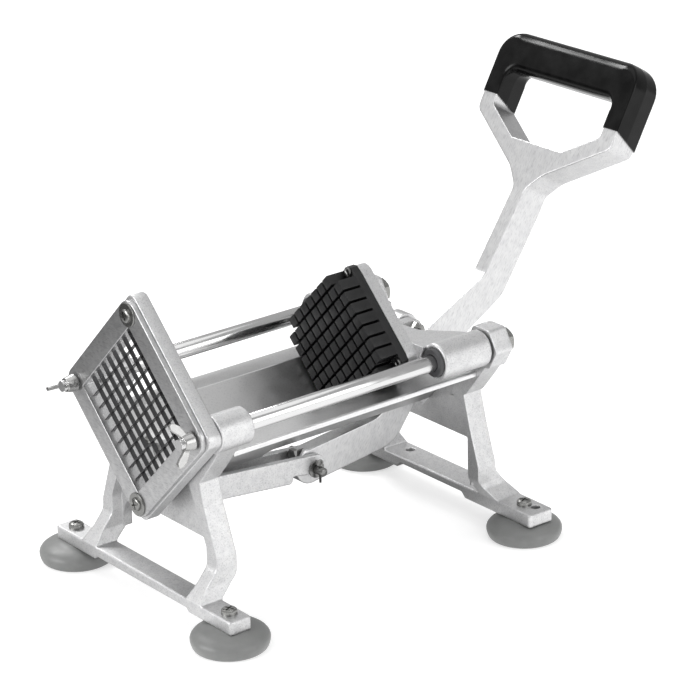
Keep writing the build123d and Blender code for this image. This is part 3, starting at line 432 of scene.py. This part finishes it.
def gripOutline():
    # points of the loop seen square to the handle: (y, along, outward y, outward along, edge radius);
    # a point without a height along the handle lies on the slanted rim
    armEdge, barEdge, outer, inner = grip["armEdge"], grip["barEdge"], grip["outer"], grip["inner"]
    rightSide = [(outer, z, 1, 0, armEdge) for z in (None, *grip["sidePoints"])]
    turn, steps = grip["outerCorner"], 10
    for i in range(steps + 1):
        a = math.pi / 2 * i / steps
        y, z = outer - turn + turn * math.cos(a), grip["top"] - turn + turn * math.sin(a)
        rightSide.append((y, z, math.cos(a), math.sin(a), armEdge + (barEdge - armEdge) * (i / steps) ** 2))
    rightSide += [(y, grip["top"], 0, 1, barEdge) for y in grip["topPoints"]]
    leftSide = [(-y, z, -ny, nz, r) for y, z, ny, nz, r in reversed(rightSide[:-1])]
    leftInside = [(-inner, z, 1, 0, armEdge) for z in (None, grip["sidePoints"][0])]
    turn, steps = grip["innerCorner"], 8
    for i in range(steps + 1):
        a = math.pi / 2 * i / steps
        y, z = -inner + turn - turn * math.cos(a), grip["under"] - turn + turn * math.sin(a)
        leftInside.append((y, z, math.cos(a), -math.sin(a), armEdge + (barEdge - armEdge) * i / steps))
    leftInside += [(y, grip["under"], 0, -1, barEdge) for y in grip["underPoints"]]
    rightInside = [(-y, z, -ny, nz, r) for y, z, ny, nz, r in reversed(leftInside[:-1])]
    return rightSide + leftSide + leftInside + rightInside


def gripRing(turn, far=False, swell=0.0, middle=None):
    # one ring of the loop: at an angle round the edge of the front or the far face, or at a middle depth
    points = []
    for y, z, ny, nz, edge in gripOutline():
        inset = edge * (1 - math.sin(turn)) - swell
        curl = edge * (1 - math.cos(turn))
        depth = grip["back"] - curl if far else grip["front"] + curl
        depth = depth if middle is None else middle
        if z is None:
            z = grip["rim"] - grip["rimDrop"] * (depth - grip["front"]) / (grip["back"] - grip["front"])
        points.append((depth, y - ny * inset, z - nz * inset))
    return points


rings = [gripRing(t) for t in quarter(7)]
for side, swell in ((-1, 0.0), (0, grip["seam"]), (1, 0.0)):
    rings.append(gripRing(math.pi / 2, False, swell, grip["seamDepth"] + side * grip["seamWidth"] / 2))
rings += [gripRing(t, True) for t in reversed(quarter(7))]
gripPlace = Matrix.Translation(Vector(grip["base"]) * mm) @ handleTurn
mouldedGrip = addPiece("mouldedGrip", loft(rings), gripPlace, crease=24)
settle(mouldedGrip, "hand_grip", gripSkin)
print("grip ready")


def addPlate(name, look, front, back):
    # a rounded square plate that stands on its corner, with rolled edges and a square opening
    def ring(half, radius, x):
        points, steps = [], 8
        for turn in range(4):
            for i in range(steps + 1):
                a = math.pi / 2 * (turn + i / steps)
                u = (half - radius) * (1 if turn in (0, 3) else -1) + radius * math.cos(a)
                v = (half - radius) * (1 if turn in (0, 1) else -1) + radius * math.sin(a)
                points.append((x, (u - v) / math.sqrt(2), rodLevel + (u + v) / math.sqrt(2)))
        return points

    half, inner, corner, lip = look["side"] / 2, look["opening"] / 2, look["corner"], 0.4
    rings = [ring(inner, lip, back), ring(inner, lip, front + lip), ring(inner + lip, 2 * lip, front)]
    edge = look["frontEdge"]
    for t in quarter(5):
        inset = edge * (1 - math.sin(t))
        rings.append(ring(half - inset, corner - inset, front + edge * (1 - math.cos(t))))
    edge = look["backEdge"]
    for t in quarter(4):
        inset = edge * (1 - math.cos(t))
        rings.append(ring(half - inset, corner - inset, back - edge * (1 - math.sin(t))))
    return addPiece(name, loft(rings, closed=True))


# blade frame, cover and blades
bladeFrame = dict(side=120.3, corner=7.0, opening=87.0, frontEdge=0.9, backEdge=1.2)
framePlate = addPlate("bladeFramePlate", bladeFrame, frameFront, frameBack)
settle(framePlate, "blade_frame", castSkin)
cover = dict(colour="cfcfcf", shade="bebebf", speck="a6a6a7", rough=0.38, streak=5.0, streakWidth=0.3,
             stretch=(1, 30, 1), grainDepth=0.014, side=118.0, corner=11.0, opening=85.5,
             frontEdge=0.9, backEdge=0.7)
coverSkin = beltGroundMetal("linished aluminium plate", cover)
settle(addPlate("coverPlate", cover, coverFront, frameFront), "blade_cover", coverSkin)
# the blades are steel, drawn a dark grey that is painted shade: it stands for the shade deep in the close-set
# grid
blades = dict(colour="5a5a5b", shade="5a5a5b", speck="454546", rough=0.34, streak=6.0, streakWidth=0.12,
              stretch=(1, 30, 1), grainDepth=0.005)
bladeSkinPaintedShade = beltGroundMetal("ground blade steel with painted shade", blades)
for node in ("blades_rising", "blades_falling"):
    nodes[node].data.materials.clear()
    nodes[node].data.materials.append(bladeSkinPaintedShade)
print("blades, frame and cover ready")

# guide rods, turned down to threaded studs at both ends
guideRod = dict(colour="d6d6d6", rough=0.17, markSize=9.0, radius=6.0, stud=4.0,
                threadPitch=1.25, threadDepth=0.62, frontChamfer=(0.5, 0.6), rearChamfer=(0.4, 0.5),
                frontStud=(rodFront, -121.0), rearStud=(rearBack, rodRear))
rodSkin = coatedMetal("hard chromed ground rod", guideRod)
radius, front, rear = guideRod["radius"], guideRod["frontStud"][1], guideRod["rearStud"][0]
inward, along = guideRod["frontChamfer"]
profile = [(middleFlat, front), (radius - inward, front), (radius, front + along)]
inward, along = guideRod["rearChamfer"]
profile += [(radius, rear - along), (radius - inward, rear), (middleFlat, rear)]
for side, label in sides:
    build = turned(profile, 64)
    for low, high in (guideRod["frontStud"], guideRod["rearStud"]):
        cutThread(build, guideRod["stud"], guideRod["threadPitch"], guideRod["threadDepth"], low, high)
    place = facing((1, 0, 0), (0, side * rodSide, rodLevel))
    rod = addPiece("guideRod" + label.title(), build, place, crease=40)
    settle(rod, "guide_rod_" + label, rodSkin)
print("guide rods ready")

# zinc plate for the screws, nuts and washers that follow
zinc = dict(colour="949492", rough=0.26, markSize=1.5)
screwSkin = coatedMetal("zinc plated pressed steel", zinc)

# rod end nuts with their washers, behind the rear frame
endNut = dict(flats=16.0, height=6.5)
washer = [(4.2, 0), (9.3, 0), (9.5, 0.2), (9.5, 1.2), (9.3, 1.4), (4.2, 1.4)]
washerTop = washer[-1][1]
build = bmesh.new()
for side in (1, -1):
    hexNut(endNut["flats"], washerTop, washerTop + endNut["height"], build, side * rodSide)
    turned(washer, 64, build, closed=True, x=side * rodSide)
# their Z runs to the rear, and their X to the left
rearTurn = Matrix(((0, 0, 1, rearBack * mm), (1, 0, 0, 0), (0, 1, 0, rodLevel * mm), (0, 0, 0, 1)))
settle(addPiece("rodEndNuts", build, rearTurn), "rod_end_nuts", screwSkin)

# washers on the cover, under the wing nuts
washer = [(4.2, 0), (8.3, 0), (8.5, 0.3), (8.5, 1.1), (8.2, 1.4), (4.2, 1.4)]
washerTop = washer[-1][1]
build = bmesh.new()
for side in (1, -1):
    turned(washer, 64, build, closed=True, y=-side * rodSide)
washers = addPiece("coverWashers", build, facing((-1, 0, 0), (coverFront, 0, rodLevel)))
settle(washers, "cover_washers", screwSkin)

# cover screws, above and below the grid: pan heads with a cross
coverScrew = dict(head=[(4.8, 0.0), (4.8, 1.9), (4.55, 2.6), (3.9, 3.05), (2.6, 3.3), (0.6, 3.4)],
                  shank=[(2.2, -11.8), (2.5, -11.3), (2.5, 0.0)], fromMiddle=68.9,
                  crossWidth=1.1, crossReach=3.2, crossTop=3.4, crossDepth=1.5, crossTurn=0.4)
build = bmesh.new()
for side in (1, -1):
    turned(coverScrew["head"], build=build, x=side * coverScrew["fromMiddle"])
    turned(coverScrew["shank"], build=build, x=side * coverScrew["fromMiddle"])
# their Z runs to the front, and their X up
coverTurn = Matrix(((0, 0, -1, coverFront * mm), (0, 1, 0, 0), (1, 0, 0, rodLevel * mm), (0, 0, 0, 1)))
coverScrews = addPiece("coverScrews", build, coverTurn)
for side in (1, -1):
    cutCross(coverScrews, coverScrew, (side * coverScrew["fromMiddle"], 0))
settle(coverScrews, "cover_screws", screwSkin)

# wing nuts: a hollow hub and two leaf-shaped wings, cast as one
wingNut = dict(colour="b4b4b3", rough=0.26, markSize=3.0, voxel=0.32, rounds=3, wing=2.7,
               hub=[(6.6, 0), (6.5, 0.6), (5.2, 6.9), (4.8, 7.5), (4.1, 7.5), (4.1, 0)],
               leaf=[(0, 2.6), (4.5, 2.6), (8.5, 4.4), (12.5, 7.2), (14.9, 10.6), (15.4, 13.2),
                     (14.2, 14.6), (11.6, 14.5), (9.0, 12.4), (6.6, 9.4), (4.2, 7.4), (0, 7.2)],
               turns={"left": -21, "right": 73})
nutSkin = coatedMetal("bright nickel plated zinc", wingNut)
leaf, half = wingNut["leaf"], wingNut["wing"] / 2
for side, label in sides:
    build = turned(wingNut["hub"], closed=True)
    for flip in (1, -1):
        low = [build.verts.new(Vector((flip * u, -half, w)) * mm) for u, w in leaf]
        high = [build.verts.new(Vector((flip * u, half, w)) * mm) for u, w in leaf]
        build.faces.new(low)
        build.faces.new(list(reversed(high)))
        for i in range(len(leaf)):
            j = (i + 1) % len(leaf)
            build.faces.new((low[i], high[i], high[j], low[j]))
    place = Matrix.Translation(Vector((coverFront - washerTop, side * rodSide, rodLevel)) * mm)
    place = place @ Matrix.Rotation(math.radians(wingNut["turns"][label]), 4, "X")
    # the nut's own Z points to the front, and its wings lie along its X
    place = place @ Matrix(((0, 0, -1, 0), (1, 0, 0, 0), (0, -1, 0, 0), (0, 0, 0, 1)))
    piece = castSoft(addPiece("wingNut" + label.title(), build, place), wingNut["voxel"], wingNut["rounds"])
    settle(piece, "wing_nut_" + label, nutSkin)
print("front hardware ready")

# trough: bent sheet with hardly any relief
trough = dict(colour="e6e6e6", shade="dedede", speck="d2d2d3", rough=0.33,
              mottleSize=12.0, grainSize=0.6, grainDepth=0.0006)
troughSkin = mottledMetal("mill finish steel sheet", trough)
settle(copyOf("trough", "troughSheet"), "trough", troughSkin)
settle(copyOf("trough_screws", "troughScrews"), "trough_screws", screwSkin)
print("trough ready")

# pusher block: a base plate with square fingers, without those at its corners
pusher = dict(colour="0b0b0c", worn="181819", rough=0.42, shine=0.5, grainSize=0.35, grainDepth=0.03,
              patchSize=12.0, cell=9.525, rows=9, gap=1.8, edge=0.5, fingerFoot=-0.6, fingerTip=15.0,
              base=(-6.5, 0), cutCorner=3.0, at=49.0)
pusherSkin = grainedPlastic("matte moulded nylon", pusher)
cell, last, fingerSide = pusher["cell"], pusher["rows"] - 1, pusher["cell"] - pusher["gap"]
length = pusher["fingerTip"] - pusher["fingerFoot"]
middle = (pusher["fingerTip"] + pusher["fingerFoot"]) / 2
build = bmesh.new()
for row in range(pusher["rows"]):
    for column in range(pusher["rows"]):
        if row in (0, last) and column in (0, last):
            continue
        size = Matrix.Diagonal((fingerSide * mm, fingerSide * mm, length * mm, 1))
        at = Vector(((row - last / 2) * cell, (column - last / 2) * cell, middle))
        bmesh.ops.create_cube(build, size=1.0, matrix=Matrix.Translation(at * mm) @ size)
half = last / 2 * cell + fingerSide / 2
cut = half - pusher["cutCorner"]
corners = [(cut, half), (-cut, half), (-half, cut), (-half, -cut)]
corners += [(-u, -v) for u, v in corners]
loft([[(u, v, w) for u, v in corners] for w in pusher["base"]], build)
bmesh.ops.bevel(build, geom=build.edges[:], offset=pusher["edge"] * mm, segments=2, profile=0.6,
                affect="EDGES", clamp_overlap=True)
place = facing((-1, 0, 0), (pusher["at"], 0, rodLevel)) @ Matrix.Rotation(math.radians(45), 4, "Z")
settle(addPiece("pusherBlock", build, place), "pusher_block", pusherSkin)

# dark steel for the screws among the fingers, and for the pins and clips further on
darkSteel = dict(colour="848483", rough=0.28, markSize=1.5)
pinSkin = coatedMetal("oiled dark steel", darkSteel)
settle(copyOf("pusher_screws", "pusherScrews"), "pusher_screws", pinSkin)
settle(copyOf("backing_plate", "backingPlate"), "backing_plate", castSkin)
settle(copyOf("plate_screws", "plateScrews"), "plate_screws", screwSkin)
print("pusher ready")

# bushes in the carriage, turned with eased rims
bush = dict(colour="3a3a3b", worn="49494b", rough=0.42, shine=0.4, grainSize=0.3, grainDepth=0.015,
            patchSize=12.0,
            profile=[(6.1, 0), (6.5, -0.3), (9.7, -0.3), (10.3, 0.3), (10.4, 1.0), (10.4, 43.6),
                     (10.0, 44.0), (6.4, 44.0), (6.05, 43.6)])
bushSkin = grainedPlastic("turned dark nylon", bush)
bushFront = boxOf("rod_bush_left")[0].x
for side, label in sides:
    place = facing((1, 0, 0), (bushFront, side * rodSide, rodLevel))
    piece = addPiece("rodBush" + label.title(), turned(bush["profile"], 64, closed=True), place)
    settle(piece, "rod_bush_" + label, bushSkin)

# lever pin with its nut
leverPin = dict(at=(95.0, 0, 145.0), radius=4.0, clear=15.0, flats=13.6, head=5.0, chamfer=(0.4, 0.5))
pinPlace = facing((0, 1, 0), leverPin["at"])
radius, clear, end = leverPin["radius"], leverPin["clear"], leverPin["clear"] + leverPin["head"]
inward, along = leverPin["chamfer"]
build = turned([(radius - inward, -end), (radius, along - end), (radius, clear)])
hexNut(leverPin["flats"], clear, end, build)
settle(addPiece("leverPin", build, pinPlace), "lever_pin", screwSkin)
pinNut = addPiece("leverPinNut", hexNut(leverPin["flats"], -end, -clear), pinPlace)
settle(pinNut, "lever_pin_nut", screwSkin)
print("bushes and lever pin ready")

# suction cups: a thin lipped skirt under a domed shoulder, hollow beneath
cup = dict(colour="787978", dusty="727372", rough=0.38, grainSize=0.7, grainDepth=0.02, patchSize=7.0,
           softness=0.12, softDepth=4.0,
           shoulder=[(middleFlat, 14.0), (12.4, 14.0), (13.2, 13.6), (16.0, 13.3), (20.0, 12.5), (23.5, 11.2),
                     (25.7, 9.6), (27.0, 7.9), (27.45, 6.4)],
           skirt=[(27.4, 4.8), (27.0, 3.1), (26.4, 1.5), (25.8, 0.4), (25.2, 0.0), (24.2, 0.0)],
           hollow=[(21.0, 1.2), (16.0, 4.2), (10.0, 7.0), (4.0, 8.2), (middleFlat, 8.5)])
cupSkin = softVinyl("moulded grey vinyl", cup)
profile = cup["shoulder"] + cup["skirt"] + cup["hollow"]
for end, x in (("front", -footX), ("rear", footX)):
    for side, label in sides:
        place = Matrix.Translation(Vector((x, side * footY, 0)) * mm)
        piece = addPiece("cup" + end.title() + label.title(), turned(profile, 96), place, crease=60)
        settle(piece, "suction_cup_" + end + "_" + label, cupSkin)

# foot screws: pan heads with a cross
footScrew = dict(barTop=23.5,
                 head=[(5.5, 0.0), (5.5, 2.0), (5.2, 3.0), (4.4, 3.7), (3.0, 4.0), (0.6, 4.15)],
                 shank=[(2.6, -13.6), (3.0, -13.2), (3.0, 0.0)],
                 crossWidth=1.1, crossReach=3.6, crossTop=4.2, crossDepth=1.6, crossTurn=0.4)
feet = [(x, y) for x in (-footX, footX) for y in (footY, -footY)]
build = bmesh.new()
for x, y in feet:
    turned(footScrew["head"], build=build, x=x, y=y)
    turned(footScrew["shank"], build=build, x=x, y=y)
footScrews = addPiece("footScrews", build, Matrix.Translation((0, 0, footScrew["barTop"] * mm)))
for foot in feet:
    cutCross(footScrews, footScrew, foot)
settle(footScrews, "cup_screws", screwSkin)
print("cups ready")

# the rest keeps its CAD shape
pins = {"stop_screw": "stopScrew", "link_front_pin": "linkFrontPin", "front_pin_clips": "pinClips",
        "link_end_pins": "kneePins", "link_washers": "linkWashers", "split_pins": "splitPins",
        "grip_crossbar": "gripCrossbar"}
for node, name in pins.items():
    settle(copyOf(node, name), node, pinSkin)
print("all pieces ready")

# room: white to the eye, and dimmer in metal's reflections so that they keep their shape
room = dict(light=0.75, mirrored=0.5)
world = bpy.data.worlds.new("studio")
bpy.context.scene.world = world
world.use_nodes = True
tree = world.node_tree
tree.nodes.clear()
white = (1, 1, 1, 1)
rays = addNode(tree, "ShaderNodeLightPath")
shown = addNode(tree, "ShaderNodeBackground", {"Color": white, "Strength": 1.0}).outputs[0]
walls = addNode(tree, "ShaderNodeBackground", {"Color": white, "Strength": room["light"]}).outputs[0]
mirrored = addNode(tree, "ShaderNodeBackground", {"Color": white, "Strength": room["mirrored"]}).outputs[0]
lit = {0: rays.outputs["Is Glossy Ray"], 1: walls, 2: mirrored}
lit = addNode(tree, "ShaderNodeMixShader", lit).outputs[0]
both = {0: rays.outputs["Is Camera Ray"], 1: lit, 2: shown}
both = addNode(tree, "ShaderNodeMixShader", both).outputs[0]
addNode(tree, "ShaderNodeOutputWorld", {"Surface": both})

# paper floor, evenly white to the eye; in metal's reflections it glows with painted shade and light instead:
# a painted shadow under the object, painted shade to its left and painted light to its right
paper = dict(half=6.0, below=0.4, grey=0.62, glow=0.52, dim=0.1, bright=1.36, sideFrom=-0.6, sideTo=-0.12,
             paintedShadow=0.1, paintedShadowFrom=0.06, paintedShadowTo=0.19, rightward=(0.6, -0.8, 0),
             poolShape=(0.6, 1, 0), poolShift=(-0.03, -0.05, 0))
build = bmesh.new()
bmesh.ops.create_grid(build, x_segments=1, y_segments=1, size=paper["half"])
floor = addPiece("floorSheet", build, Matrix.Translation((0, 0, -paper["below"] * mm)))
material, tree, spot = startMaterial("white paper sweep")
rays = addNode(tree, "ShaderNodeLightPath")
matte = addNode(tree, "ShaderNodeBsdfDiffuse", {"Color": [paper["grey"]] * 3 + [1]}).outputs[0]
glow = addNode(tree, "ShaderNodeEmission", {"Color": white, "Strength": paper["glow"]}).outputs[0]
bright = addNode(tree, "ShaderNodeAddShader", {0: matte, 1: glow}).outputs[0]
sideways = {0: spot, 1: paper["rightward"]}
sideways = addNode(tree, "ShaderNodeVectorMath", sideways, operation="DOT_PRODUCT").outputs["Value"]
under = {0: spot, 1: paper["poolShape"], 2: paper["poolShift"]}
under = addNode(tree, "ShaderNodeVectorMath", under, operation="MULTIPLY_ADD").outputs["Vector"]
distance = addNode(tree, "ShaderNodeVectorMath", {0: under}, operation="LENGTH").outputs["Value"]
# painted light and shade: the glow that metal sees rises from the object's left to its right
span = {"From Min": paper["sideFrom"], "From Max": paper["sideTo"]}
span.update({"To Min": paper["dim"], "To Max": paper["bright"]})
paintedSideLight = addNode(tree, "ShaderNodeMapRange", {"Value": sideways, **span}).outputs[0]
# painted shadow: the glow that metal sees drops under the object
span = {"From Min": paper["paintedShadowFrom"], "From Max": paper["paintedShadowTo"]}
span.update({"To Min": paper["paintedShadow"], "To Max": 1.0})
paintedShadow = addNode(tree, "ShaderNodeMapRange", {"Value": distance, **span}).outputs[0]
strength = addNode(tree, "ShaderNodeMath", {0: paintedSideLight, 1: paintedShadow}, operation="MULTIPLY").outputs[0]
dim = addNode(tree, "ShaderNodeEmission", {"Color": white, "Strength": strength}).outputs[0]
seen = {0: rays.outputs["Is Glossy Ray"], 1: bright, 2: dim}
seen = addNode(tree, "ShaderNodeMixShader", seen).outputs[0]
addNode(tree, "ShaderNodeOutputMaterial", {"Surface": seen})
floor.data.materials.append(material)

# softboxes: sizes and places in metres, power in watts
softboxes = {
    "sideSoftbox": dict(at=(0.35, -1.5, 0.75), size=(1.4, 1.1), power=9.0, target=(0, 0, 0.12)),
    "frontSoftbox": dict(at=(-1.5, 0.35, 0.7), size=(1.0, 0.8), power=14.0, target=(0, 0, 0.12)),
    "topSoftbox": dict(at=(0.05, 0.1, 1.5), size=(1.3, 1.3), power=4.0, target=(0, 0, 0.12)),
    "rimSoftbox": dict(at=(0.1, 1.35, 1.42), size=(0.9, 0.3), power=14.0, target=(0.2, 0, 0.25)),
}
for name, box in softboxes.items():
    light = bpy.data.lights.new(name, "AREA")
    light.shape = "RECTANGLE"
    light.size, light.size_y = box["size"]
    light.energy = box["power"]
    lamp = bpy.data.objects.new(name, light)
    bpy.context.scene.collection.objects.link(lamp)
    lamp.location = box["at"]
    aim = Vector(box["target"]) - Vector(box["at"])
    lamp.rotation_euler = aim.to_track_quat("-Z", "Y").to_euler()

# camera: a long lens, from the front and right and a little above; right, up and back are its axes
# before the roll, which is in degrees, and its place is in metres
view = dict(at=(-1.1693, -1.5452, 0.9087), roll=-1.45, lens=152.31, sensor=36.0,
            right=(0.7855, -0.6189, 0), up=(0.2256, 0.2863, 0.9312), back=(-0.5764, -0.7313, 0.3645))
camera = bpy.data.objects.new("camera", bpy.data.cameras.new("camera"))
bpy.context.scene.collection.objects.link(camera)
bpy.context.scene.camera = camera
roll, right, up = math.radians(view["roll"]), Vector(view["right"]), Vector(view["up"])
across = right * math.cos(roll) + up * math.sin(roll)
upward = up * math.cos(roll) - right * math.sin(roll)
turn = Matrix((across, upward, Vector(view["back"]))).transposed().to_4x4()
camera.matrix_world = Matrix.Translation(view["at"]) @ turn
camera.data.lens = view["lens"]
camera.data.sensor_width = view["sensor"]
camera.data.clip_start, camera.data.clip_end = 0.05, 30.0
bpy.context.scene.view_settings.view_transform = "Standard"
print("room, lights and camera ready")
